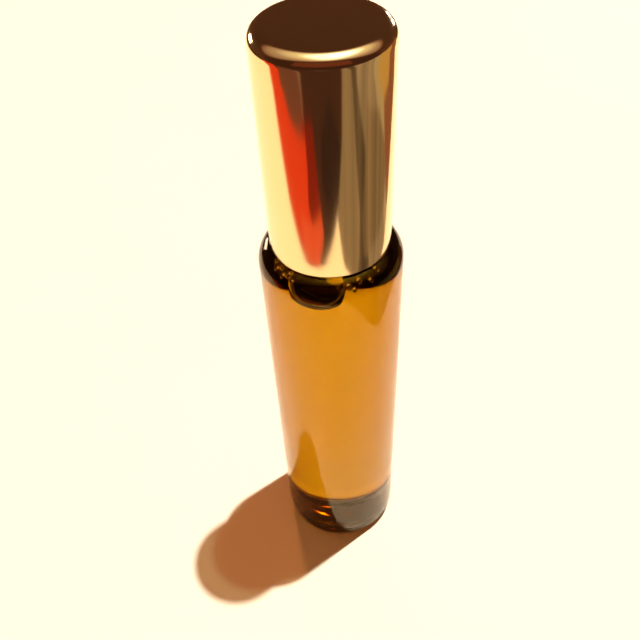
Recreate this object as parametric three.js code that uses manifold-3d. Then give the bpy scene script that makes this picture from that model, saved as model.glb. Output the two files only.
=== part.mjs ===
// Roll-on bottle: amber glass body, press-in ball housing, steel ball and a gold screw cap.
// Millimetres, +Z up. The origin is the centre of the base, on the surface it stands on.
import * as THREE from 'three';
import { mergeVertices } from 'three/addons/utils/BufferGeometryUtils.js';
import Module from 'manifold-3d';

const wasm = await Module();
wasm.setup();

// Glass body
const BODY_RADIUS = 10;
const BODY_HEIGHT = 66.5; // base to the top of the shoulder
const SHOULDER_RADIUS = 3.1;
const HEEL_RADIUS = 2.4;
const GLASS_WALL = 2;
const SHOULDER_WALL = 1.5;
const BASE_THICKNESS = 2.2;
const FLOOR_RADIUS = 1.2; // fillet between the inner wall and the inner floor
const FOOT_WIDTH = 2.6; // flat ring that the bottle stands on
const PUSH_UP_DEPTH = 0.6; // how far the base is domed upwards inside the foot ring

// Neck
const NECK_HEIGHT = 12;
const NECK_WALL = 1.55;
const NECK_LIP = 0.2; // how far the neck stands out past the housing's flange
const NECK_FILLET = 0.6;
const MOUTH_ROUND = 0.5;

// Screw thread: the neck and the cap's liner share these
const THREAD_PITCH = 2.117;
const THREAD_DEPTH = 0.65;
const THREAD_ROOT_WIDTH = 1.15;
const THREAD_CREST_WIDTH = 0.55;
const THREAD_ROOTING = 0.25; // how deep a ridge is sunk into the wall that carries it
const THREAD_CLEARANCE = 0.3;
const NECK_THREAD_TURNS = 1.75;
const LINER_THREAD_TURNS = 1.25;
const THREAD_TOP_DROP = 1.3; // from the mouth down to the neck thread's upper end
const THREAD_RUN_OUT = 0.18; // share of a turn over which a ridge fades in or out

// Roller ball and its housing
const BALL_RADIUS = 4.4;
const BALL_CLEARANCE = 0.25;
const BALL_RISE = 3.6; // ball centre above the mouth of the neck
const SOCKET_WALL = 0.9;
const SOCKET_RIM_RISE = 2.2; // retaining rim above the ball's centre
const FLANGE_THICKNESS = 1;
const PLUG_LENGTH = 6;
const PLUG_WALL = 0.85;
const PLUG_RING_HEIGHT = 0.2;
const PLUG_RING_WIDTH = 0.9;
const PLUG_RING_COUNT = 3;

// Cap
const SHELL_WALL = 0.4;
const SHELL_TOP_RADIUS = 1.6;
const SHELL_GAP = 0.2; // between the shell's lower edge and the shoulder
const LINER_WALL = 0.7;
const LINER_TOP = 1;
const LINER_RECESS = 0.8; // liner's lower edge above the shell's lower edge
const LINER_RIB_COUNT = 12;
const LINER_RIB_HEIGHT = 0.2;
const LINER_RIB_WIDTH = 0.8;
const STEM_RADIUS = 2.2;
const STEM_LENGTH = 4.5;
const WEB_COUNT = 4;
const WEB_THICKNESS = 0.8;
const CUP_WALL = 0.8;
const CUP_DEPTH = 2.9;
const CUP_CEILING = 0.9;
const PAD_RADIUS = 3.7;
const PAD_THICKNESS = 2;
const PAD_EDGE = 0.4;

// Fits
const FIT_GAP = 0.2; // between pieces that are pressed or set into each other
const REST_GAP = 0.25; // between pieces that rest on each other

// Fineness of the mesh
const ROUND_STEPS = 40; // facets around a full turn
const ARC_STEP = Math.PI / 10; // longest step of a round stretch of an outline
const PUSH_UP_STEPS = 4;
const BALL_STEPS_AROUND = 28;
const BALL_STEPS_UP = 18;
const MERGE_DISTANCE = 1e-5;

// Radii, built up from the ball outwards
const socketRadius = BALL_RADIUS + BALL_CLEARANCE;
const housingRadius = socketRadius + SOCKET_WALL;
const neckRadius = housingRadius + NECK_LIP;
const neckBore = neckRadius - NECK_WALL;
const plugRadius = neckBore - FIT_GAP - PLUG_RING_HEIGHT;
const plugBore = plugRadius - PLUG_WALL;
const linerBore = neckRadius + THREAD_DEPTH + THREAD_CLEARANCE;
const linerRadius = linerBore + LINER_WALL;
const shellBore = linerRadius + LINER_RIB_HEIGHT + FIT_GAP;
const shellRadius = shellBore + SHELL_WALL;
const cupBore = PAD_RADIUS + FIT_GAP;
const cupRadius = cupBore + CUP_WALL;

// Heights, built up from the base
const mouthZ = BODY_HEIGHT + NECK_HEIGHT;
const ballZ = mouthZ + BALL_RISE;
const padZ = ballZ + BALL_RADIUS + REST_GAP;
const cupCeilingZ = padZ + PAD_THICKNESS + FIT_GAP;
const cupTopZ = cupCeilingZ + CUP_CEILING;
const linerTopZ = cupTopZ + STEM_LENGTH + LINER_TOP;
const capTopZ = linerTopZ + REST_GAP + SHELL_WALL;
const capBottomZ = shoulderHeightAt(shellBore) + SHELL_GAP;
const linerBottomZ = Math.max(capBottomZ + LINER_RECESS, BODY_HEIGHT + REST_GAP);
const neckThreadZ = mouthZ - THREAD_TOP_DROP - NECK_THREAD_TURNS * THREAD_PITCH;
const linerThreadZ = neckThreadZ - THREAD_PITCH / 2;

// Height of the shoulder's outer surface at a radius
function shoulderHeightAt(radius) {
  const centre = BODY_RADIUS - SHOULDER_RADIUS;
  const out = Math.min(Math.max(radius - centre, 0), SHOULDER_RADIUS);
  return BODY_HEIGHT - SHOULDER_RADIUS + Math.sqrt(SHOULDER_RADIUS ** 2 - out ** 2);
}

function point(radius, height) {
  return new THREE.Vector2(radius, height);
}

// Points on an arc of an ellipse, from one angle to another, both ends included
function arc(centreR, centreZ, radiusR, radiusZ, from, to) {
  const steps = Math.max(2, Math.ceil(Math.abs(to - from) / ARC_STEP));
  const points = [];
  for (let i = 0; i <= steps; i += 1) {
    const angle = from + ((to - from) * i) / steps;
    points.push(point(centreR + radiusR * Math.cos(angle), centreZ + radiusZ * Math.sin(angle)));
  }
  return points;
}

// The base's shallow dome, from its middle out to the foot ring
function pushUp(edge) {
  const points = [];
  for (let i = 0; i <= PUSH_UP_STEPS; i += 1) {
    const share = i / PUSH_UP_STEPS;
    points.push(point(edge * share, PUSH_UP_DEPTH * (1 - share ** 2)));
  }
  return points;
}

// A body of revolution about Z. The outline runs anticlockwise: outwards below, inwards above.
function turned(outline) {
  const geometry = new THREE.LatheGeometry(outline, ROUND_STEPS);
  geometry.rotateX(Math.PI / 2);
  return geometry;
}

function toSolid(geometry) {
  const bare = geometry.clone();
  bare.deleteAttribute('normal');
  bare.deleteAttribute('uv');
  const merged = mergeVertices(bare, MERGE_DISTANCE);
  const kept = [];
  for (let i = 0; i < merged.index.count; i += 3) {
    const corners = [0, 1, 2].map((k) => merged.index.getX(i + k));
    if (new Set(corners).size === 3) kept.push(...corners);
  }
  return new wasm.Manifold(new wasm.Mesh({
    numProp: 3,
    vertProperties: new Float32Array(merged.attributes.position.array),
    triVerts: new Uint32Array(kept),
  }));
}

function toGeometry(solid) {
  const mesh = solid.getMesh();
  const geometry = new THREE.BufferGeometry();
  geometry.setAttribute('position', new THREE.BufferAttribute(mesh.vertProperties, 3));
  geometry.setIndex(new THREE.BufferAttribute(mesh.triVerts, 1));
  geometry.computeVertexNormals();
  return geometry;
}

function joined(geometries) {
  const solids = geometries.map(toSolid);
  return toGeometry(solids.reduce((sum, next) => sum.add(next)));
}

// A right-hand screw ridge. side is 1 for a ridge that stands outwards and -1 for inwards.
function screwRidge(wallRadius, startZ, turns, side) {
  const foot = -THREAD_ROOTING;
  const section = new THREE.Shape([
    point(foot, -THREAD_ROOT_WIDTH / 2),
    point(0, -THREAD_ROOT_WIDTH / 2),
    point(THREAD_DEPTH, -THREAD_CREST_WIDTH / 2),
    point(THREAD_DEPTH, THREAD_CREST_WIDTH / 2),
    point(0, THREAD_ROOT_WIDTH / 2),
    point(foot, THREAD_ROOT_WIDTH / 2),
  ]);
  const steps = Math.round(turns * ROUND_STEPS);
  const geometry = new THREE.ExtrudeGeometry(section, { depth: turns, steps, bevelEnabled: false });
  const position = geometry.attributes.position;
  for (let i = 0; i < position.count; i += 1) {
    const turn = position.getZ(i);
    const fade = Math.min(1, Math.min(turn, turns - turn) / THREAD_RUN_OUT);
    const height = Math.max(position.getX(i) * fade, foot);
    const radius = wallRadius + side * (position.getX(i) > 0 ? height : position.getX(i));
    const angle = turn * 2 * Math.PI;
    const z = startZ + position.getY(i) + turn * THREAD_PITCH;
    position.setXYZ(i, radius * Math.cos(angle), radius * Math.sin(angle), z);
  }
  return side > 0 ? flipped(geometry) : geometry;
}

// The same surface with its faces turned over
function flipped(geometry) {
  const whole = geometry.index ? geometry.toNonIndexed() : geometry;
  const values = whole.attributes.position.array;
  const corner = new Float32Array(3);
  for (let i = 0; i < values.length; i += 9) {
    corner.set(values.subarray(i, i + 3));
    values.copyWithin(i, i + 3, i + 6);
    values.set(corner, i + 3);
  }
  return whole;
}

function glassBottle() {
  const footInner = BODY_RADIUS - HEEL_RADIUS - FOOT_WIDTH;
  const innerRadius = BODY_RADIUS - GLASS_WALL;
  const shoulderCentre = BODY_RADIUS - SHOULDER_RADIUS;
  const filletFoot = neckRadius + NECK_FILLET;
  const meet = Math.acos(Math.min(Math.max((filletFoot - shoulderCentre) / SHOULDER_RADIUS, 0), 1));
  const filletZ = shoulderHeightAt(filletFoot);
  const innerTopZ = BODY_HEIGHT - SHOULDER_WALL;
  const outline = [
    ...pushUp(footInner),
    ...arc(BODY_RADIUS - HEEL_RADIUS, HEEL_RADIUS, HEEL_RADIUS, HEEL_RADIUS, -Math.PI / 2, 0),
    ...arc(shoulderCentre, BODY_HEIGHT - SHOULDER_RADIUS, SHOULDER_RADIUS, SHOULDER_RADIUS, 0, meet),
    ...arc(filletFoot, filletZ + NECK_FILLET, NECK_FILLET, NECK_FILLET, -Math.PI / 2, -Math.PI),
    ...arc(neckRadius - MOUTH_ROUND, mouthZ - MOUTH_ROUND, MOUTH_ROUND, MOUTH_ROUND, 0, Math.PI / 2),
    point(neckBore + MOUTH_ROUND / 2, mouthZ),
    point(neckBore, mouthZ - MOUTH_ROUND / 2),
    ...arc(
      neckBore, innerTopZ - SHOULDER_RADIUS,
      innerRadius - neckBore, SHOULDER_RADIUS, Math.PI / 2, 0,
    ),
    ...arc(
      innerRadius - FLOOR_RADIUS, BASE_THICKNESS + FLOOR_RADIUS,
      FLOOR_RADIUS, FLOOR_RADIUS, 0, -Math.PI / 2,
    ),
    point(0, BASE_THICKNESS),
  ];
  return joined([turned(outline), screwRidge(neckRadius, neckThreadZ, NECK_THREAD_TURNS, 1)]);
}

// One rounded sealing ring on the plug, from its lower edge to its upper edge
function plugRing(lowerZ) {
  return [
    point(plugRadius, lowerZ),
    point(plugRadius + PLUG_RING_HEIGHT, lowerZ + PLUG_RING_WIDTH / 3),
    point(plugRadius + PLUG_RING_HEIGHT, lowerZ + (PLUG_RING_WIDTH * 2) / 3),
    point(plugRadius, lowerZ + PLUG_RING_WIDTH),
  ];
}

function ballHousing() {
  const plugBottomZ = mouthZ - PLUG_LENGTH;
  const flangeZ = mouthZ + REST_GAP;
  const rimZ = ballZ + SOCKET_RIM_RISE;
  const rimAngle = Math.asin(SOCKET_RIM_RISE / socketRadius);
  const seatAngle = Math.acos(plugBore / socketRadius);
  const spacing = PLUG_LENGTH / (PLUG_RING_COUNT + 1);
  const outline = [
    point(plugBore, plugBottomZ),
    point(plugRadius - PLUG_RING_HEIGHT, plugBottomZ),
    point(plugRadius, plugBottomZ + PLUG_RING_HEIGHT * 2),
  ];
  for (let i = 1; i <= PLUG_RING_COUNT; i += 1) {
    outline.push(...plugRing(plugBottomZ + spacing * i - PLUG_RING_WIDTH / 2));
  }
  const rimRound = SOCKET_WALL / 3;
  outline.push(
    point(plugRadius, flangeZ),
    point(housingRadius, flangeZ),
    point(housingRadius, flangeZ + FLANGE_THICKNESS),
    point(housingRadius - rimRound, flangeZ + FLANGE_THICKNESS),
    ...arc(
      housingRadius - rimRound * 2, rimZ - rimRound,
      rimRound, rimRound, 0, Math.PI / 2,
    ),
    ...arc(0, ballZ, socketRadius, socketRadius, rimAngle, -seatAngle),
    point(plugBore, plugBottomZ),
  );
  return turned(outline);
}

function rollerBall() {
  return new THREE.SphereGeometry(BALL_RADIUS, BALL_STEPS_AROUND, BALL_STEPS_UP);
}

function capShell() {
  const cornerZ = capTopZ - SHELL_TOP_RADIUS;
  const cornerRadius = shellRadius - SHELL_TOP_RADIUS;
  const innerCorner = SHELL_TOP_RADIUS - SHELL_WALL;
  const outline = [
    point(0, capTopZ - SHELL_WALL),
    ...arc(cornerRadius, cornerZ, innerCorner, innerCorner, Math.PI / 2, 0),
    point(shellBore, capBottomZ + SHELL_WALL / 4),
    point(shellBore + SHELL_WALL / 4, capBottomZ),
    point(shellRadius - SHELL_WALL / 4, capBottomZ),
    point(shellRadius, capBottomZ + SHELL_WALL / 4),
    ...arc(cornerRadius, cornerZ, SHELL_TOP_RADIUS, SHELL_TOP_RADIUS, 0, Math.PI / 2),
    point(0, capTopZ),
  ];
  return turned(outline);
}

// A flat upright bar that stands out from the axis, from one radius to another
function radialBar(fromRadius, toRadius, width, lowZ, highZ, angle) {
  const bar = new THREE.BoxGeometry(toRadius - fromRadius, width, highZ - lowZ);
  bar.translate((fromRadius + toRadius) / 2, 0, (lowZ + highZ) / 2);
  bar.rotateZ(angle);
  return bar;
}

function capLiner() {
  const cornerRound = SHELL_TOP_RADIUS;
  const cupRimZ = cupCeilingZ - CUP_DEPTH;
  const ceilingZ = linerTopZ - LINER_TOP;
  const outline = [
    point(0, cupCeilingZ),
    point(cupBore, cupCeilingZ),
    point(cupBore, cupRimZ),
    point(cupRadius, cupRimZ),
    point(cupRadius, cupTopZ),
    point(STEM_RADIUS, cupTopZ),
    point(STEM_RADIUS, ceilingZ),
    point(linerBore, ceilingZ),
    point(linerBore, linerBottomZ + LINER_WALL / 2),
    point(linerBore + LINER_WALL / 2, linerBottomZ),
    point(linerRadius, linerBottomZ),
    ...arc(linerRadius - cornerRound, linerTopZ - cornerRound, cornerRound, cornerRound, 0, Math.PI / 2),
    point(0, linerTopZ),
  ];
  const pieces = [turned(outline), screwRidge(linerBore, linerThreadZ, LINER_THREAD_TURNS, -1)];
  for (let i = 0; i < WEB_COUNT; i += 1) {
    const angle = (i * 2 * Math.PI) / WEB_COUNT;
    const outer = linerBore + LINER_WALL / 2;
    const high = linerTopZ - LINER_TOP / 2;
    pieces.push(radialBar(STEM_RADIUS / 2, outer, WEB_THICKNESS, cupTopZ, high, angle));
  }
  for (let i = 0; i < LINER_RIB_COUNT; i += 1) {
    const angle = ((i + 0.5) * 2 * Math.PI) / LINER_RIB_COUNT;
    const low = linerBottomZ + LINER_WALL;
    const high = linerTopZ - cornerRound * 2;
    const outer = linerRadius + LINER_RIB_HEIGHT;
    pieces.push(radialBar(linerRadius - LINER_WALL / 2, outer, LINER_RIB_WIDTH, low, high, angle));
  }
  return joined(pieces);
}

function capPad() {
  const top = padZ + PAD_THICKNESS;
  return turned([
    point(0, padZ),
    point(PAD_RADIUS - PAD_EDGE, padZ),
    point(PAD_RADIUS, padZ + PAD_EDGE),
    point(PAD_RADIUS, top),
    point(0, top),
  ]);
}

function part(name, geometry, color, roughness, metalness) {
  const mesh = new THREE.Mesh(geometry, new THREE.MeshStandardMaterial({ color, roughness, metalness }));
  mesh.name = name;
  return mesh;
}

const ball = part('roller_ball', rollerBall(), 0xc8ccd0, 0.12, 1);
ball.position.z = ballZ;

const bottle = new THREE.Group();
bottle.add(
  part('glass_bottle', glassBottle(), 0xb06a12, 0.05, 0),
  part('ball_housing', ballHousing(), 0xf0efe8, 0.45, 0),
  ball,
);

const cap = new THREE.Group();
cap.add(
  part('cap_shell', capShell(), 0xd9b46a, 0.08, 1),
  part('cap_liner', capLiner(), 0xf2f1ec, 0.5, 0),
  part('cap_pad', capPad(), 0xe6e2d6, 0.85, 0),
);

const rollOnBottle = new THREE.Group();
rollOnBottle.add(bottle, cap);

export default rollOnBottle;
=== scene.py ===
import math

import bpy
from mathutils import Matrix, Vector

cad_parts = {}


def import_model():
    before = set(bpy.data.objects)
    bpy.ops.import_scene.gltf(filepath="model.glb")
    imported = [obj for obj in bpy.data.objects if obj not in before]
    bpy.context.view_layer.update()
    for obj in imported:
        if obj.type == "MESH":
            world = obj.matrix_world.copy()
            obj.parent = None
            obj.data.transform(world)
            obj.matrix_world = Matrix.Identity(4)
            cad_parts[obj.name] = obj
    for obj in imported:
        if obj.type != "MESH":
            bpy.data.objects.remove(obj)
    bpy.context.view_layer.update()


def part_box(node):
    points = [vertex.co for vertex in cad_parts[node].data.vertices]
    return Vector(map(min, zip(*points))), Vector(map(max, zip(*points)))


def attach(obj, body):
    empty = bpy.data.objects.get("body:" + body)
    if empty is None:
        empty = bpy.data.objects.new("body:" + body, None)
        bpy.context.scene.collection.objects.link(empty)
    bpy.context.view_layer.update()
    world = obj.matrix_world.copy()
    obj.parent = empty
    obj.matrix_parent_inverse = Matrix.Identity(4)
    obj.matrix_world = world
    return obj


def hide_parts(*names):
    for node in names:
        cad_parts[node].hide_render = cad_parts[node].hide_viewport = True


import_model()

# Everything is in metres, in the frame of the CAD model. MM turns millimetres into metres.
MM = 0.001
ROUND = 2 * math.pi
RING_STEPS = 160  # vertices around a full turn of a turned piece
ARC_DEGREES = 6.0  # longest step of a round stretch of an outline


# ---------------------------------------------------------------- sizes, read from the frame
def size_of(node):
    low, high = (Vector(corner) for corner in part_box(node))
    return low, high


bottle_high = size_of("glass_bottle")[1]
shell_low, shell_high = size_of("cap_shell")
liner_low, liner_high = size_of("cap_liner")
pad_low, pad_high = size_of("cap_pad")
ball_low, ball_high = size_of("roller_ball")
housing_low, housing_high = size_of("ball_housing")

BODY_RADIUS = bottle_high.x
MOUTH_Z = bottle_high.z
SHELL_RADIUS = shell_high.x
SHELL_TOP_Z = shell_high.z
SHELL_BOTTOM_Z = shell_low.z
BALL_RADIUS = (ball_high.z - ball_low.z) / 2
BALL_Z = (ball_high.z + ball_low.z) / 2
HOUSING_RADIUS = housing_high.x

# Sizes inside the pieces, as in the CAD model
NECK_HEIGHT = 12 * MM
SHOULDER_Z = MOUTH_Z - NECK_HEIGHT
SHOULDER_RADIUS = 3.1 * MM
HEEL_RADIUS = 2.4 * MM
GLASS_WALL = 2 * MM
SHOULDER_WALL = 1.5 * MM
BASE_THICKNESS = 2.2 * MM
FLOOR_RADIUS = 1.2 * MM
FOOT_WIDTH = 2.6 * MM
PUSH_UP_DEPTH = 0.6 * MM
NECK_WALL = 1.55 * MM
NECK_LIP = 0.2 * MM
NECK_FILLET = 0.6 * MM
MOUTH_ROUND = 0.5 * MM
NECK_RADIUS = HOUSING_RADIUS + NECK_LIP
NECK_BORE = NECK_RADIUS - NECK_WALL
INNER_RADIUS = BODY_RADIUS - GLASS_WALL

THREAD_PITCH = 2.117 * MM
THREAD_DEPTH = 0.65 * MM
THREAD_ROOT_WIDTH = 1.15 * MM
THREAD_CREST_WIDTH = 0.55 * MM
NECK_THREAD_TURNS = 1.75
LINER_THREAD_TURNS = 1.25
NECK_THREAD_Z = MOUTH_Z - 1.3 * MM - NECK_THREAD_TURNS * THREAD_PITCH
LINER_THREAD_Z = NECK_THREAD_Z - THREAD_PITCH / 2
THREAD_RUN_OUT = 0.18

SHELL_WALL = 0.4 * MM
SHELL_TOP_RADIUS = 1.6 * MM
LINER_WALL = 0.7 * MM
LINER_RIB_COUNT = 12
LINER_RIB_HEIGHT = 0.2 * MM
LINER_BORE = NECK_RADIUS + THREAD_DEPTH + 0.3 * MM
LINER_RADIUS = LINER_BORE + LINER_WALL
STEM_RADIUS = 2.2 * MM
CUP_WALL = 0.8 * MM
WEB_COUNT = 4
WEB_THICKNESS = 0.8 * MM
WEB_OVERLAP = 0.3 * MM
PAD_GAP = 0.2 * MM

# The liquid
WETTED_INSET = 0.02 * MM  # how far the liquid's skin stands inside the glass
FILL_Z = housing_low.z - 1.5 * MM
MENISCUS = 0.5 * MM


# ---------------------------------------------------------------- mesh helpers
def arc(centre_r, centre_z, radius_r, radius_z, start, end):
    """Points on an arc of an ellipse in the (radius, height) plane, in degrees, ends included."""
    steps = max(2, math.ceil(abs(end - start) / ARC_DEGREES))
    points = []
    for i in range(steps + 1):
        angle = math.radians(start + (end - start) * i / steps)
        points.append((centre_r + radius_r * math.cos(angle), centre_z + radius_z * math.sin(angle)))
    return points


def rows(start, end, count):
    """Evenly spaced points of an outline between two points, both left out."""
    points = []
    for i in range(1, count):
        share = i / count
        points.append((start[0] + (end[0] - start[0]) * share, start[1] + (end[1] - start[1]) * share))
    return points


def new_piece(name, vertices, faces, sharp_degrees=35.0):
    mesh = bpy.data.meshes.new(name)
    mesh.from_pydata(vertices, [], faces)
    mesh.validate()
    mesh.update()
    mesh.shade_smooth()
    mesh.set_sharp_from_angle(angle=math.radians(sharp_degrees))
    piece = bpy.data.objects.new(name, mesh)
    bpy.context.scene.collection.objects.link(piece)
    return piece


def turned_mesh(outline, shape=None, steps=RING_STEPS):
    """Vertices and faces of a body of revolution about Z.

    The outline is a list of (radius, height), anticlockwise. It starts and ends on the axis, or
    closes on itself. shape(radius, height, angle) moves a point, for ridges, ribs and dents.
    """
    on_axis = outline[0][0] == 0
    ring_points = outline[1:-1] if on_axis else outline
    vertices = []
    for radius, height in ring_points:
        for j in range(steps):
            angle = ROUND * j / steps
            r, z = shape(radius, height, angle) if shape else (radius, height)
            vertices.append((r * math.cos(angle), r * math.sin(angle), z))
    faces = []
    count = len(ring_points)
    for i in range(count - 1 if on_axis else count):
        below, above = i * steps, ((i + 1) % count) * steps
        for j in range(steps):
            k = (j + 1) % steps
            faces.append((below + j, below + k, above + k, above + j))
    if on_axis:
        first, last = len(vertices), len(vertices) + 1
        vertices.append((0, 0, outline[0][1]))
        vertices.append((0, 0, outline[-1][1]))
        top = (count - 1) * steps
        for j in range(steps):
            k = (j + 1) % steps
            faces.append((first, k, j))
            faces.append((last, top + j, top + k))
    return vertices, faces


def turned_piece(name, outline, shape=None, steps=RING_STEPS):
    vertices, faces = turned_mesh(outline, shape, steps)
    return new_piece(name, vertices, faces)


BOX_CORNERS = [(0, 0, 0), (1, 0, 0), (1, 1, 0), (0, 1, 0), (0, 0, 1), (1, 0, 1), (1, 1, 1), (0, 1, 1)]
BOX_FACES = [(0, 3, 2, 1), (4, 5, 6, 7), (0, 1, 5, 4), (1, 2, 6, 5), (2, 3, 7, 6), (3, 0, 4, 7)]


def thread_height(height, angle, start_z, turns):
    """How far a screw ridge stands out of its wall at one height and angle."""
    best = 0.0
    for lap in range(math.ceil(turns) + 1):
        turn = lap + angle / ROUND
        if not 0 < turn < turns:
            continue
        fade = min(1.0, min(turn, turns - turn) / THREAD_RUN_OUT)
        away = abs(height - (start_z + turn * THREAD_PITCH))
        slope = (THREAD_ROOT_WIDTH / 2 - away) / ((THREAD_ROOT_WIDTH - THREAD_CREST_WIDTH) / 2)
        best = max(best, THREAD_DEPTH * fade * min(1.0, max(0.0, slope)))
    return best


# ---------------------------------------------------------------- node material helpers
def new_material(name):
    material = bpy.data.materials.new(name)
    material.use_nodes = True
    nodes = material.node_tree.nodes
    shader = next(n for n in nodes if n.type == "BSDF_PRINCIPLED")
    return material, nodes, material.node_tree.links, shader


def noise(nodes, links, scale, detail=3.0, roughness=0.5, stretch=(1, 1, 1)):
    coordinates = nodes.new("ShaderNodeTexCoord")
    mapping = nodes.new("ShaderNodeMapping")
    mapping.inputs["Scale"].default_value = stretch
    texture = nodes.new("ShaderNodeTexNoise")
    texture.inputs["Scale"].default_value = scale
    texture.inputs["Detail"].default_value = detail
    texture.inputs["Roughness"].default_value = roughness
    links.new(coordinates.outputs["Object"], mapping.inputs["Vector"])
    links.new(mapping.outputs["Vector"], texture.inputs["Vector"])
    return texture.outputs["Fac"]


def spread(nodes, links, value, low, high):
    """Maps a 0 to 1 value onto low to high."""
    node = nodes.new("ShaderNodeMapRange")
    node.inputs["To Min"].default_value = low
    node.inputs["To Max"].default_value = high
    links.new(value, node.inputs["Value"])
    return node.outputs["Result"]


def bump(nodes, links, height, distance, strength=1.0):
    node = nodes.new("ShaderNodeBump")
    node.inputs["Distance"].default_value = distance
    node.inputs["Strength"].default_value = strength
    links.new(height, node.inputs["Height"])
    return node.outputs["Normal"]


MIX_FIRST, MIX_SECOND, MIX_RESULT = 6, 7, 2  # the colour sockets of a Mix node


def mixed_colour(nodes, links, factor, first, second):
    """The first colour where the factor is 0, and the second where it is 1."""
    node = nodes.new("ShaderNodeMix")
    node.data_type = "RGBA"
    links.new(factor, node.inputs["Factor"])
    node.inputs[MIX_FIRST].default_value = (*first, 1)
    node.inputs[MIX_SECOND].default_value = (*second, 1)
    return node.outputs[MIX_RESULT]


def laid_over(nodes, links, factor, under, colour):
    """The output under it where the factor is 0, and a plain colour where it is 1."""
    node = nodes.new("ShaderNodeMix")
    node.data_type = "RGBA"
    links.new(factor, node.inputs["Factor"])
    links.new(under, node.inputs[MIX_FIRST])
    node.inputs[MIX_SECOND].default_value = (*colour, 1)
    return node.outputs[MIX_RESULT]


def absorb(nodes, links, colour, density):
    volume = nodes.new("ShaderNodeVolumeAbsorption")
    volume.inputs["Color"].default_value = (*colour, 1)
    volume.inputs["Density"].default_value = density
    output = next(n for n in nodes if n.type == "OUTPUT_MATERIAL")
    links.new(volume.outputs["Volume"], output.inputs["Volume"])


def matched_ior(nodes, links, shader, attribute, free, covered):
    """Index of refraction by a stored 0 or 1: free against air, covered where liquid meets glass."""
    stored = nodes.new("ShaderNodeAttribute")
    stored.attribute_name = attribute
    links.new(spread(nodes, links, stored.outputs["Fac"], free, covered), shader.inputs["IOR"])
    shader.inputs["IOR"].default_value = free


# ---------------------------------------------------------------- materials
GLASS_IOR = 1.54
LIQUID_IOR = 1.46


def amber_glass():
    material, nodes, links, shader = new_material("amber_glass")
    shader.inputs["Base Color"].default_value = (1, 1, 1, 1)
    shader.inputs["Transmission Weight"].default_value = 1.0
    shader.inputs["Roughness"].default_value = 0.0
    matched_ior(nodes, links, shader, "wetted", GLASS_IOR, GLASS_IOR / LIQUID_IOR)
    ripple = noise(nodes, links, 160.0, detail=2.0, stretch=(1, 1, 0.35))
    links.new(bump(nodes, links, ripple, 0.02 * MM), shader.inputs["Normal"])
    shader.inputs["Specular Tint"].default_value = (1.0, 0.55, 0.03, 1)
    absorb(nodes, links, (0.902, 0.814, 0.02), 1800.0)
    return material


def oil():
    material, nodes, links, shader = new_material("clear_oil")
    shader.inputs["Base Color"].default_value = (1, 1, 1, 1)
    shader.inputs["Transmission Weight"].default_value = 1.0
    shader.inputs["Roughness"].default_value = 0.0
    matched_ior(nodes, links, shader, "covered", LIQUID_IOR, 1.0)
    absorb(nodes, links, (0.985, 0.98, 0.7), 200.0)
    return material


def gold_metal():
    material, nodes, links, shader = new_material("gold_metal")
    patches = noise(nodes, links, 90.0, detail=4.0)
    links.new(
        mixed_colour(nodes, links, patches, (0.90, 0.665, 0.35), (0.93, 0.69, 0.37)),
        shader.inputs["Base Color"],
    )
    shader.inputs["Metallic"].default_value = 1.0
    drawn = noise(nodes, links, 900.0, detail=3.0, stretch=(1, 1, 0.04))
    links.new(spread(nodes, links, drawn, 0.075, 0.13), shader.inputs["Roughness"])
    links.new(bump(nodes, links, drawn, 0.0006 * MM), shader.inputs["Normal"])
    return material


def ball_steel():
    material, nodes, links, shader = new_material("ball_steel")
    patches = noise(nodes, links, 250.0)
    links.new(
        mixed_colour(nodes, links, patches, (0.60, 0.60, 0.61), (0.66, 0.66, 0.66)),
        shader.inputs["Base Color"],
    )
    shader.inputs["Metallic"].default_value = 1.0
    links.new(spread(nodes, links, patches, 0.08, 0.16), shader.inputs["Roughness"])
    return material


def moulded_plastic(name, light, shade, rough, translucent=0.0):
    material, nodes, links, shader = new_material(name)
    patches = noise(nodes, links, 300.0, detail=4.0)
    links.new(mixed_colour(nodes, links, patches, light, shade), shader.inputs["Base Color"])
    links.new(spread(nodes, links, patches, rough - 0.06, rough + 0.06), shader.inputs["Roughness"])
    shader.inputs["Subsurface Weight"].default_value = translucent
    shader.inputs["Subsurface Scale"].default_value = 1.0 * MM
    grain = noise(nodes, links, 4000.0, detail=2.0)
    links.new(bump(nodes, links, grain, 0.01 * MM), shader.inputs["Normal"])
    return material


def seal_foam():
    material, nodes, links, shader = new_material("seal_foam")
    cells = noise(nodes, links, 2500.0, detail=4.0, roughness=0.7)
    links.new(
        mixed_colour(nodes, links, cells, (0.74, 0.71, 0.63), (0.86, 0.84, 0.78)),
        shader.inputs["Base Color"],
    )
    shader.inputs["Roughness"].default_value = 0.9
    links.new(bump(nodes, links, cells, 0.08 * MM), shader.inputs["Normal"])
    return material


# ---------------------------------------------------------------- pieces
def store(piece, attribute, test):
    """Stores 1 on each vertex that passes the test, and 0 on the others."""
    layer = piece.data.attributes.new(attribute, "FLOAT", "POINT")
    for i, vertex in enumerate(piece.data.vertices):
        layer.data[i].value = 1.0 if test(vertex.co) else 0.0


def shoulder_height(radius):
    out = min(max(radius - (BODY_RADIUS - SHOULDER_RADIUS), 0), SHOULDER_RADIUS)
    return SHOULDER_Z - SHOULDER_RADIUS + math.sqrt(SHOULDER_RADIUS**2 - out**2)


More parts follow.
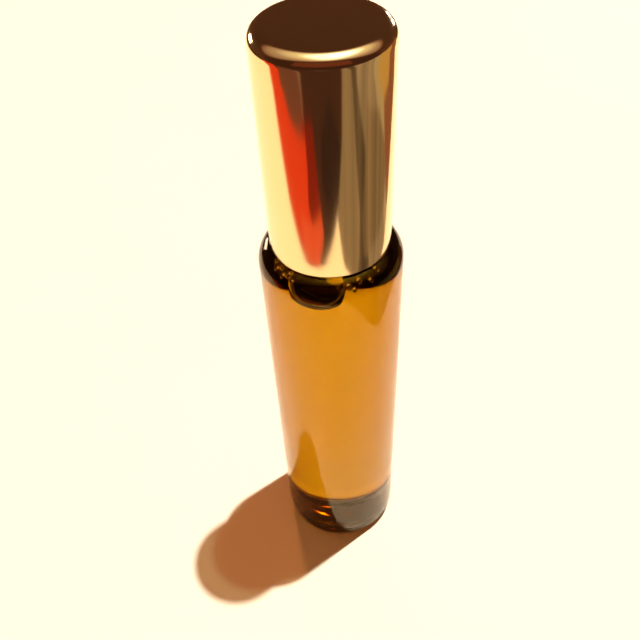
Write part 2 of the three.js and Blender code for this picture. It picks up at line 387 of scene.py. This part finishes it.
def cavity_outline(inset=0.0):
    """The bottle's inner surface from the neck's bore down to the middle of the floor."""
    top_z = SHOULDER_Z - SHOULDER_WALL
    wall = INNER_RADIUS - inset
    bore = NECK_BORE - inset
    floor = BASE_THICKNESS + inset
    fillet = FLOOR_RADIUS - inset
    upper = arc(bore, top_z - SHOULDER_RADIUS, wall - bore, SHOULDER_RADIUS - inset, 90, 0)
    lower = arc(wall - fillet, floor + fillet, fillet, fillet, 0, -90)
    return upper + rows(upper[-1], lower[0], 24) + lower + [(0, floor)]


def glass_bottle():
    foot_outer = BODY_RADIUS - HEEL_RADIUS
    foot_inner = foot_outer - FOOT_WIDTH
    fillet_foot = NECK_RADIUS + NECK_FILLET
    fillet_z = shoulder_height(fillet_foot) + NECK_FILLET
    heel = arc(foot_outer, HEEL_RADIUS, HEEL_RADIUS, HEEL_RADIUS, -90, 0)
    shoulder = arc(
        BODY_RADIUS - SHOULDER_RADIUS, SHOULDER_Z - SHOULDER_RADIUS, SHOULDER_RADIUS, SHOULDER_RADIUS, 0, 90
    )
    neck_foot = arc(fillet_foot, fillet_z, NECK_FILLET, NECK_FILLET, 270, 180)
    mouth = arc(NECK_RADIUS - MOUTH_ROUND, MOUTH_Z - MOUTH_ROUND, MOUTH_ROUND, MOUTH_ROUND, 0, 90)
    inner_round = MOUTH_ROUND / 2
    inner_mouth = arc(
        NECK_BORE + inner_round, MOUTH_Z - inner_round, inner_round, inner_round, 90, 180
    )
    dome = [(foot_inner * s, PUSH_UP_DEPTH * (1 - s * s)) for s in (0.2, 0.4, 0.6, 0.8, 0.95)]
    outline = [(0, PUSH_UP_DEPTH)] + dome
    outline += rows((foot_inner, 0), (foot_outer, 0), 6) + heel
    outline += rows(heel[-1], shoulder[0], 24) + shoulder
    outline += neck_foot + rows(neck_foot[-1], mouth[0], 90) + mouth + inner_mouth
    cavity = cavity_outline()
    outline += rows(inner_mouth[-1], cavity[0], 10) + cavity

    def shape(radius, height, angle):
        if abs(radius - NECK_RADIUS) < 0.01 * MM and height > fillet_z:
            return radius + thread_height(height, angle, NECK_THREAD_Z, NECK_THREAD_TURNS), height
        return radius, height

    piece = turned_piece("bottle_glass", outline, shape)
    inner = INNER_RADIUS + 0.3 * MM

    def wet(point):
        radius = math.hypot(point.x, point.y)
        above_floor = point.z > BASE_THICKNESS - 0.1 * MM
        under_fill = point.z < FILL_Z
        in_bore = radius < NECK_BORE + 0.3 * MM or point.z < SHOULDER_Z - SHOULDER_WALL + 0.05 * MM
        below_roof = radius < inner and point.z < FILL_Z and in_bore
        return above_floor and under_fill and below_roof

    store(piece, "wetted", wet)
    piece.data.materials.append(amber_glass())
    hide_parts("glass_bottle")
    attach(piece, "bottle")
    return piece


BUBBLE_DEGREES = -105.5  # where the bubble lies around the shoulder, from +X
BUBBLE_OUT = 6.1 * MM
BUBBLE_Z = SHOULDER_Z - 3.2 * MM
BUBBLE_HALF = Vector((2.0, 3.5, 2.7)) * MM  # outwards, along the shoulder, up
BUBBLE_FILM = 0.12 * MM  # liquid left between the bubble and the glass
SMALL_BUBBLES = [  # degrees from +X, radius and depth below the top of the shoulder in millimetres
    (-160, 0.34, 3.0), (-154, 0.26, 3.3), (-149, 0.40, 2.9), (-143, 0.30, 3.3), (-137, 0.36, 3.0),
    (-131, 0.24, 3.2), (-72, 0.34, 3.0), (-67, 0.26, 3.3), (-60, 0.36, 2.9), (-48, 0.28, 3.2),
    (-36, 0.32, 2.9),
]


def roof_radius(height):
    """Inner radius of the cavity at a height near the shoulder."""
    start = SHOULDER_Z - SHOULDER_WALL - SHOULDER_RADIUS
    share = min(max((height - start) / SHOULDER_RADIUS, 0.0), 1.0)
    return NECK_BORE + (INNER_RADIUS - NECK_BORE) * math.sqrt(1 - share * share)


def inside_cavity(point):
    if point.z > SHOULDER_Z - SHOULDER_WALL - BUBBLE_FILM:
        return False
    return math.hypot(point.x, point.y) < roof_radius(point.z) - BUBBLE_FILM


def bubble_mesh(degrees, out, z, half, around=64, levels=40):
    """A bubble inside the cavity, pressed flat where it meets the glass, with its faces inwards."""
    turn = Matrix.Rotation(math.radians(degrees), 3, "Z")
    centre = turn @ Vector((out, 0, z))
    vertices = []

    def placed(level, step):
        polar, angle = math.pi * level / levels, ROUND * step / around
        way = Vector((math.sin(polar) * math.cos(angle), math.sin(polar) * math.sin(angle), math.cos(polar)))
        reach = turn @ Vector((way.x * half[0], way.y * half[1], way.z * half[2]))
        low, high = 0.0, 1.0
        if not inside_cavity(centre + reach):
            for _ in range(20):
                middle = (low + high) / 2
                if inside_cavity(centre + reach * middle):
                    low = middle
                else:
                    high = middle
            high = low
        return centre + reach * high

    for level in range(1, levels):
        for step in range(around):
            vertices.append(placed(level, step))
    top, bottom = len(vertices), len(vertices) + 1
    vertices += [placed(0, 0), placed(levels, 0)]
    faces = []
    for level in range(levels - 2):
        for step in range(around):
            nxt = (step + 1) % around
            a, b = level * around, (level + 1) * around
            faces.append((a + step, a + nxt, b + nxt, b + step))
    last = (levels - 2) * around
    for step in range(around):
        nxt = (step + 1) % around
        faces.append((top, nxt, step))
        faces.append((bottom, last + step, last + nxt))
    return vertices, faces


def all_bubbles():
    """The large bubble and the small ones beside it under the shoulder."""
    meshes = [bubble_mesh(BUBBLE_DEGREES, BUBBLE_OUT, BUBBLE_Z, BUBBLE_HALF)]
    for degrees, size, drop in SMALL_BUBBLES:
        z = SHOULDER_Z - drop * MM
        out = roof_radius(z) - size * MM - BUBBLE_FILM
        meshes.append(bubble_mesh(degrees, out, z, (size * MM,) * 3, 16, 10))
    return meshes


def liquid():
    cavity = cavity_outline(WETTED_INSET)
    skin = list(reversed(cavity))
    bore = NECK_BORE - WETTED_INSET
    column = [(bore, FILL_Z)]
    surface = [(bore * s, FILL_Z - MENISCUS * (1 - s**4)) for s in (0.95, 0.85, 0.7, 0.5, 0.25)]
    outline = skin + rows(skin[-1], column[0], 10) + column + surface + [(0, FILL_Z - MENISCUS)]
    vertices, faces = turned_mesh(outline)
    free_from = len(vertices)
    for more, more_faces in all_bubbles():
        first = len(vertices)
        vertices += [tuple(v) for v in more]
        faces += [tuple(i + first for i in face) for face in more_faces]
    piece = new_piece("bottle_liquid", vertices, faces, 60.0)
    layer = piece.data.attributes.new("covered", "FLOAT", "POINT")
    for i, vertex in enumerate(piece.data.vertices):
        radius = math.hypot(vertex.co.x, vertex.co.y)
        top = vertex.co.z > FILL_Z - MENISCUS * 1.01 and radius < bore * 0.97
        layer.data[i].value = 0.0 if i >= free_from or top else 1.0
    piece.data.materials.append(oil())
    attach(piece, "bottle")
    return piece


def ball_housing():
    plug_radius = NECK_BORE - 0.4 * MM
    plug_bore = plug_radius - 0.85 * MM
    socket_radius = BALL_RADIUS + 0.25 * MM
    flange_z = MOUTH_Z + 0.25 * MM
    rim_z = housing_high.z
    low_z = housing_low.z
    ring_width = 0.9 * MM
    outline = [(plug_bore, low_z), (plug_radius - 0.2 * MM, low_z), (plug_radius, low_z + 0.4 * MM)]
    for i in range(1, 4):
        centre = low_z + (MOUTH_Z - low_z) * i / 4
        outline += arc(plug_radius, centre, 0.2 * MM, ring_width / 2, -90, 90)
    outline += [(plug_radius, flange_z - 0.15 * MM), (plug_radius + 0.15 * MM, flange_z)]
    edge = 0.12 * MM
    outline += arc(HOUSING_RADIUS - edge, flange_z + edge, edge, edge, -90, 0)
    outline += arc(HOUSING_RADIUS - edge, flange_z + 1 * MM - edge, edge, edge, 0, 90)
    wall = HOUSING_RADIUS - 0.3 * MM
    outline += [(wall, flange_z + 1 * MM)]
    outline += arc(wall - 0.3 * MM, rim_z - 0.3 * MM, 0.3 * MM, 0.3 * MM, 0, 90)
    rim = math.degrees(math.asin((rim_z - BALL_Z) / socket_radius))
    seat = math.degrees(math.acos(plug_bore / socket_radius))
    outline += arc(0, BALL_Z, socket_radius, socket_radius, rim, -seat)
    piece = turned_piece("housing_insert", outline)
    piece.data.materials.append(
        moulded_plastic("housing_plastic", (0.86, 0.85, 0.80), (0.90, 0.89, 0.85), 0.38, 0.2)
    )
    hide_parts("ball_housing")
    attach(piece, "bottle")
    return piece


def roller_ball():
    half = arc(0, BALL_Z, BALL_RADIUS, BALL_RADIUS, -90, 90)
    outline = [(0, half[0][1])] + half[1:-1] + [(0, half[-1][1])]
    piece = turned_piece("steel_ball", outline, steps=96)
    piece.data.materials.append(ball_steel())
    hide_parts("roller_ball")
    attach(piece, "ball")
    return piece


def cap_shell():
    corner_z = SHELL_TOP_Z - SHELL_TOP_RADIUS
    corner_r = SHELL_RADIUS - SHELL_TOP_RADIUS
    inner = SHELL_TOP_RADIUS - SHELL_WALL
    bore = SHELL_RADIUS - SHELL_WALL
    lip = SHELL_WALL / 2
    outline = [(0, SHELL_TOP_Z - SHELL_WALL)]
    outline += arc(corner_r, corner_z, inner, inner, 90, 0)
    outline += rows((bore, corner_z), (bore, SHELL_BOTTOM_Z + lip), 12)
    outline += arc(bore + lip, SHELL_BOTTOM_Z + lip, lip, lip, 180, 360)
    outline += rows((SHELL_RADIUS, SHELL_BOTTOM_Z + lip), (SHELL_RADIUS, corner_z), 12)
    outline += arc(corner_r, corner_z, SHELL_TOP_RADIUS, SHELL_TOP_RADIUS, 0, 90)
    outline += [(corner_r * s, SHELL_TOP_Z) for s in (0.9, 0.6, 0.3)] + [(0, SHELL_TOP_Z)]
    piece = turned_piece("cap_outer", outline)
    piece.data.materials.append(gold_metal())
    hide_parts("cap_shell")
    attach(piece, "cap")
    return piece


def cap_liner():
    top_z = liner_high.z
    low_z = liner_low.z
    cup_bore = pad_high.x + PAD_GAP
    cup_radius = cup_bore + CUP_WALL
    ceiling_z = pad_high.z + PAD_GAP
    cup_top = ceiling_z + 0.9 * MM
    roof_z = top_z - 1 * MM
    edge = 0.15 * MM
    outline = [(0, ceiling_z), (cup_bore, ceiling_z), (cup_bore, ceiling_z - 2.9 * MM + edge)]
    outline += arc(cup_bore + CUP_WALL / 2, ceiling_z - 2.75 * MM, CUP_WALL / 2, edge, 180, 360)
    outline += [(cup_radius, cup_top), (STEM_RADIUS, cup_top), (STEM_RADIUS, roof_z), (LINER_BORE, roof_z)]
    outline += rows((LINER_BORE, roof_z), (LINER_BORE, low_z + LINER_WALL / 2), 160)
    outline += [(LINER_BORE, low_z + LINER_WALL / 2), (LINER_BORE + LINER_WALL / 2, low_z)]
    outline += [(LINER_RADIUS, low_z)]
    corner = SHELL_TOP_RADIUS
    outline += rows((LINER_RADIUS, low_z), (LINER_RADIUS, top_z - corner), 20)
    outline += arc(LINER_RADIUS - corner, top_z - corner, corner, corner, 0, 90)
    outline += [(0, top_z)]

    def shape(radius, height, angle):
        if abs(radius - LINER_BORE) < 0.01 * MM:
            return radius - thread_height(height, angle, LINER_THREAD_Z, LINER_THREAD_TURNS), height
        ribbed = low_z + LINER_WALL < height < top_z - 2 * SHELL_TOP_RADIUS
        if abs(radius - LINER_RADIUS) < 0.01 * MM and ribbed:
            phase = (angle / ROUND * LINER_RIB_COUNT) % 1 - 0.5
            half_width = 0.4 * MM * LINER_RIB_COUNT / (ROUND * LINER_RADIUS)
            return radius + (LINER_RIB_HEIGHT if abs(phase) < half_width else 0), height
        return radius, height

    vertices, faces = turned_mesh(outline, shape, 240)
    for i in range(WEB_COUNT):
        turn = Matrix.Rotation(ROUND * (i + 0.5) / WEB_COUNT, 3, "Z")
        first = len(vertices)
        low = Vector((STEM_RADIUS / 2, -WEB_THICKNESS / 2, cup_top - WEB_OVERLAP))
        high = Vector((LINER_BORE + LINER_WALL / 2, WEB_THICKNESS / 2, roof_z + WEB_OVERLAP))
        for x, y, z in BOX_CORNERS:
            vertices.append(tuple(turn @ Vector(((low, high)[x].x, (low, high)[y].y, (low, high)[z].z))))
        faces += [tuple(first + corner for corner in face) for face in BOX_FACES]
    piece = new_piece("cap_inner", vertices, faces)
    piece.data.materials.append(
        moulded_plastic("liner_plastic", (0.82, 0.81, 0.76), (0.87, 0.86, 0.82), 0.5)
    )
    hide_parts("cap_liner")
    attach(piece, "cap")
    return piece


def cap_pad():
    edge = 0.4 * MM
    outline = [(0, pad_low.z + 0.15 * MM), (pad_high.x * 0.5, pad_low.z + 0.06 * MM)]
    outline += arc(pad_high.x - edge, pad_low.z + edge, edge, edge, -90, 0)
    outline += arc(pad_high.x - edge / 2, pad_high.z - edge / 2, edge / 2, edge / 2, 0, 90)
    outline += [(0, pad_high.z)]
    piece = turned_piece("seal_pad", outline, steps=96)
    piece.data.materials.append(seal_foam())
    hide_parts("cap_pad")
    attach(piece, "seal")
    return piece


# ---------------------------------------------------------------- camera, floor and light
CAMERA_LENS = 40.93
CAMERA_PLACE = (2.53 * MM, -75.40 * MM, 130.08 * MM)
CAMERA_DOWN, CAMERA_TURN, CAMERA_ROLL = 46.60, 3.48, -3.45  # degrees
TABLE_RADIUS = 1.5
TABLE_STEPS = 128
KEY_WAY = (0.195, 0.147, 1)
SECOND_WAY = (0.163, 0.122, 1)
BACK_WAY = (-0.226, 0.974, 0.7)
LAMP_DISTANCE = 3.0
LOWEST_CARD_Z = 0.5 * MM
CARD_GAP = 0.3 * MM
CEILING = 1.5
CEILING_GAP = 0.005
WINDOW_DISTANCE = 1.4
WINDOW_LIGHT = (12.0, 11.5, 10.5)
CAP_EYE_Z = 94 * MM  # the level from which the cards' heights are measured as angles
SPARKLE_LAYERS = 6
SPARKLE_LOW, SPARKLE_HIGH = 52, 55  # degrees, before the spread
SPARKLE_SPREAD = 16  # degrees by which the outermost layer reaches lower, and half as far higher
FAR_DARK = (0.062, 0.024, 0.012)


def camera():
    data = bpy.data.cameras.new("camera")
    data.sensor_width = 36.0
    data.lens = CAMERA_LENS
    data.clip_start = 0.005
    data.clip_end = 20.0
    eye = bpy.data.objects.new("camera", data)
    down, turn, roll = (math.radians(angle) for angle in (CAMERA_DOWN, CAMERA_TURN, CAMERA_ROLL))
    aim = Matrix.Rotation(turn, 4, "Z") @ Matrix.Rotation(math.pi / 2 - down, 4, "X")
    aim = aim @ Matrix.Rotation(roll, 4, "Z")
    eye.matrix_world = Matrix.Translation(CAMERA_PLACE) @ aim
    bpy.context.scene.collection.objects.link(eye)
    bpy.context.scene.camera = eye


def floor():
    corners = []
    for i in range(TABLE_STEPS):
        angle = ROUND * i / TABLE_STEPS
        corners.append((TABLE_RADIUS * math.cos(angle), TABLE_RADIUS * math.sin(angle), 0))
    piece = new_piece("floor", corners, [tuple(range(TABLE_STEPS))])
    material, nodes, links, shader = new_material("pale_table")
    grain = noise(nodes, links, 30.0, detail=5.0)
    links.new(
        mixed_colour(nodes, links, grain, (0.89, 0.88, 0.82), (0.91, 0.90, 0.84)),
        shader.inputs["Base Color"],
    )
    shader.inputs["Roughness"].default_value = 0.6
    shader.inputs["Specular IOR Level"].default_value = 0.05
    piece.data.materials.append(material)


def lamp(name, way, width, watts, colour):
    """A round lamp that looks at the origin from a direction, unseen by rays through glass."""
    data = bpy.data.lights.new(name, "AREA")
    data.shape = "DISK"
    data.size = width
    data.energy = watts
    data.color = colour
    light = bpy.data.objects.new(name, data)
    light.location = Vector(way).normalized() * LAMP_DISTANCE
    light.rotation_euler = (-light.location).to_track_quat("-Z", "Y").to_euler()
    light.visible_transmission = False
    bpy.context.scene.collection.objects.link(light)
    return light


def glow(name, colour, streaks=0.0):
    """An evenly glowing surface, or one with streaks that run out from the bottle."""
    material = bpy.data.materials.new(name)
    material.use_nodes = True
    nodes, links = material.node_tree.nodes, material.node_tree.links
    nodes.clear()
    emission = nodes.new("ShaderNodeEmission")
    emission.inputs["Color"].default_value = (*colour, 1)
    output = nodes.new("ShaderNodeOutputMaterial")
    links.new(emission.outputs["Emission"], output.inputs["Surface"])
    if streaks:
        coordinates = nodes.new("ShaderNodeTexCoord")
        bearing = nodes.new("ShaderNodeTexGradient")
        bearing.gradient_type = "RADIAL"
        texture = nodes.new("ShaderNodeTexNoise")
        texture.noise_dimensions = "1D"
        texture.inputs["Scale"].default_value = 34.0
        texture.inputs["Detail"].default_value = 2.5
        links.new(coordinates.outputs["Object"], bearing.inputs["Vector"])
        links.new(bearing.outputs["Fac"], texture.inputs["W"])
        strength = spread(nodes, links, texture.outputs["Fac"], 1 - streaks, 1 + streaks)
        links.new(strength, emission.inputs["Strength"])
    return material


def only_mirrored(piece):
    """Leaves a studio card to be seen in the shiny pieces, and nowhere else."""
    piece.visible_camera = False
    piece.visible_diffuse = False
    piece.visible_transmission = False
    piece.visible_shadow = False


def table_card(name, layer, corners, colour, streaks=0.0):
    """A flat card on the table, given by its corners in millimetres."""
    vertices = [(x * MM, y * MM, LOWEST_CARD_Z + CARD_GAP * layer) for x, y in corners]
    piece = new_piece(name, vertices, [tuple(range(len(vertices)))])
    piece.data.materials.append(glow(name, colour, streaks))
    only_mirrored(piece)


def cards():
    """Coloured cards on the table around the bottle, seen only where the gold and glass mirror them."""
    far = 1400
    table_card(
        "left_dark_card", 0,
        [(-far, 160), (-179, -24), (-100, -43), (-53, -63), (-7, -85), (27, -99), (60, -122),
         (far, -far), (-far, -far)],
        (0.065, 0.027, 0.017),
    )
    table_card(
        "right_dark_card", 1,
        [(27, -99), (36, -70), (50, -42), (60, -12), (68, 12), (76, 36), (115, 125),
         (far, far), (far, -far), (60, -122)],
        (0.285, 0.104, 0.047),
    )
    table_card(
        "brown_card", 1,
        [(-166, -74), (-124, -90), (-74, -122), (-98, -151), (-400, -400), (-500, -200)],
        (0.17, 0.066, 0.04),
    )
    table_card(
        "brown_edge_card", 2, [(-74, -122), (-78, -125), (-250, -280), (-190, -285)], (0.263, 0.134, 0.089)
    )
    table_card(
        "dark_red_card", 2,
        [(-65, -93), (-15, -87), (-13, -89), (-36, -124), (-49, -143), (-90, -125)],
        (0.242, 0.019, 0.008),
    )
    table_card(
        "red_card", 3,
        [(-600, 45), (-179, -25), (-100, -44), (-53, -64), (-22, -79), (-36, -86), (-58, -91), (-62, -107),
         (-74, -122), (-124, -90), (-166, -74), (-600, -180)],
        (0.84, 0.062, 0.017),
    )
    table_card(
        "near_tan_card", 2,
        [(27, -99), (35, -70), (50, -42), (84, -59), (100, -87), (125, -129), (700, -1100),
         (560, -1100), (85, -160), (61, -125)],
        (0.31, 0.216, 0.125), 0.35,
    )
    table_card(
        "olive_card", 2,
        [(50, -42), (84, -59), (100, -87), (125, -129), (700, -1100), (1100, -1100),
         (140, -113), (121, -51), (72, -20), (58, -16)],
        (0.12, 0.08, 0.048), 0.6,
    )
    table_card(
        "far_tan_card", 2,
        [(58, -16), (72, -20), (121, -51), (140, -113), (1100, -1100), (1300, -200),
         (182, -29), (130, 28), (76, 36), (68, 12)],
        (0.33, 0.238, 0.15), 0.4,
    )
    table_card(
        "pale_card", 3,
        [(76, 36), (130, 28), (182, -29), (1300, -200), (1300, 60), (176, 6), (154, 41),
         (118, 45), (80, 50)],
        (0.466, 0.356, 0.196),
    )
    table_card(
        "amber_card", 2, [(154, 41), (176, 6), (1300, 60), (1300, 700), (151, 80)], (0.566, 0.328, 0.089)
    )
    table_card(
        "low_brown_card", 4,
        [(150, -58), (154, 9), (129, 41), (106, 50), (92, 33), (84, -14), (72, -38), (84, -50), (112, -52)],
        (0.245, 0.162, 0.09), 0.6,
    )
    table_card(
        "orange_card", 4,
        [(-81, -67), (-22, -102), (-13, -93), (-21, -84), (-33, -76), (-56, -66)],
        (0.88, 0.115, 0.042),
    )
    table_card(
        "darkest_card", 4,
        [(-18, -140), (20, -165), (44, -145), (56, -123), (37, -106), (8, -101), (-15, -115)],
        (0.040, 0.019, 0.014), 0.4,
    )


def ceiling_glow():
    """Level oval cards above the bottle, white in the middle and brown outside, seen in the cap's edge."""
    bands = [
        ((0.22, 0.10), (0.40, 0.50), (2.2, 2.1, 2.0)),
        ((0.22, 0.12), (0.72, 0.80), (0.95, 0.80, 0.50)),
        ((0.25, 0.15), (1.50, 0.95), (0.50, 0.36, 0.24)),
        ((0.05, 0.15), (3.00, 1.05), (0.30, 0.15, 0.09)),
        ((0.05, 0.20), (4.20, 1.25), (0.075, 0.032, 0.016)),
    ]
    steps, around = 5, 48
    layer = 0
    for inner, outer in zip(bands, bands[1:]):
        for step in range(steps):
            centre, half, colour = (Vector(a).lerp(Vector(b), step / steps) for a, b in zip(inner, outer))
            vertices = []
            for i in range(around):
                angle = ROUND * i / around
                x, y = centre.x + half.x * math.cos(angle), centre.y + half.y * math.sin(angle)
                vertices.append((x, y, CEILING + CEILING_GAP * layer))
            piece = new_piece(f"ceiling_glow_{layer}", vertices, [tuple(range(around))])
            piece.data.materials.append(glow(piece.name, tuple(colour)))
            only_mirrored(piece)
            layer += 1


def window_card(name, start, end, low, high, colour, distance=WINDOW_DISTANCE):
    """An upright card between two bearings from +Y and two heights, in degrees."""
    corners = []
    for bearing, rise in ((start, low), (end, low), (end, high), (start, high)):
        turn = math.radians(bearing)
        height = CAP_EYE_Z + distance * math.tan(math.radians(rise))
        corners.append((distance * math.sin(turn), distance * math.cos(turn), height))
    piece = new_piece(name, corners, [(0, 1, 2, 3)])
    piece.data.materials.append(glow(name, colour))
    only_mirrored(piece)
    return piece


def sparkle(name, bearing, half_bearing, colour):
    """A light with soft edges behind the bottle, seen only through the glass."""
    for i in range(SPARKLE_LAYERS):
        share = 1 - i / SPARKLE_LAYERS
        strength = ((i + 1) / SPARKLE_LAYERS) ** 4
        width, rise = half_bearing * share, SPARKLE_SPREAD * share
        piece = window_card(
            f"{name}_{i}", bearing - width, bearing + width, SPARKLE_LOW - rise, SPARKLE_HIGH + rise / 2,
            tuple(strength * c for c in colour), WINDOW_DISTANCE - 0.01 * i,
        )
        piece.visible_glossy = False
        piece.visible_transmission = True


def far_table_card():
    """Part of a dark ring on the table far from the bottle, for the glass shoulder and the cap's edge."""
    near, far = 0.38, 1.45
    start, turn, steps = -30, 240, 48
    vertices, faces = [], []
    for i in range(steps + 1):
        angle = math.radians(start + turn * i / steps)
        for radius in (near, far):
            vertices.append((radius * math.cos(angle), radius * math.sin(angle), 0.2 * MM))
    for i in range(steps):
        faces.append((2 * i, 2 * i + 1, 2 * i + 3, 2 * i + 2))
    piece = new_piece("far_table_card", vertices, faces)
    piece.data.materials.append(glow("far_table_card", FAR_DARK))
    only_mirrored(piece)


def world():
    """A dark room to mirrored rays, a warm fill to diffuse rays, and a pale backdrop to the camera."""
    scene_world = bpy.data.worlds.new("room")
    bpy.context.scene.world = scene_world
    scene_world.use_nodes = True
    nodes, links = scene_world.node_tree.nodes, scene_world.node_tree.links
    nodes.clear()
    output = nodes.new("ShaderNodeOutputWorld")
    background = nodes.new("ShaderNodeBackground")
    path = nodes.new("ShaderNodeLightPath")
    place = nodes.new("ShaderNodeTexCoord")
    split = nodes.new("ShaderNodeSeparateXYZ")
    ramp = nodes.new("ShaderNodeValToRGB")
    links.new(place.outputs["Generated"], split.inputs["Vector"])
    links.new(split.outputs["Z"], ramp.inputs["Fac"])
    stops = ramp.color_ramp.elements
    stops[0].position, stops[0].color = 0.0, (0.10, 0.04, 0.018, 1)
    stops[1].position, stops[1].color = 0.5, (*FAR_DARK, 1)
    front = nodes.new("ShaderNodeMapRange")
    front.inputs["From Min"].default_value = 0.1
    front.inputs["From Max"].default_value = -0.1
    links.new(split.outputs["Y"], front.inputs["Value"])
    mirrored = nodes.new("ShaderNodeMath")
    mirrored.operation = "MULTIPLY"
    links.new(path.outputs["Is Glossy Ray"], mirrored.inputs[0])
    links.new(front.outputs["Result"], mirrored.inputs[1])
    colour = laid_over(nodes, links, mirrored.outputs["Value"], ramp.outputs["Color"], (0.05, 0.018, 0.01))
    colour = laid_over(nodes, links, path.outputs["Is Diffuse Ray"], colour, (0.30, 0.095, 0.026))
    colour = laid_over(nodes, links, path.outputs["Is Camera Ray"], colour, (0.95, 0.90, 0.76))
    links.new(colour, background.inputs["Color"])
    links.new(background.outputs["Background"], output.inputs["Surface"])


def room():
    lamp("key", KEY_WAY, 0.05, 128.0, (0.92, 0.79, 0.63))
    lamp("second", SECOND_WAY, 0.05, 10.0, (0.8, 0.95, 0.5))
    back = lamp("back", BACK_WAY, 0.27, 26.0, (1.0, 0.30, 0.08))
    back.visible_glossy = False
    cards()
    far_table_card()
    ceiling_glow()
    window_card("front_wall", 135, 225, 14, 40, (0.15, 0.038, 0.018))
    sparkle("sparkle", 11, 6, (60, 48, 30))
    sparkle("pink_sparkle", -5, 3, (4, 3, 3))
    window_card("left_window", -50, -37, 0.5, 12, WINDOW_LIGHT)
    window_card("right_window", 14, 18.5, 0.5, 9, WINDOW_LIGHT)
    window_card("right_window_2", 21, 28, 0.5, 9, WINDOW_LIGHT)


def main():
    camera()
    glass_bottle()
    liquid()
    ball_housing()
    roller_ball()
    cap_shell()
    cap_liner()
    cap_pad()
    floor()
    world()
    room()
    bpy.context.scene.view_settings.view_transform = "Standard"


main()
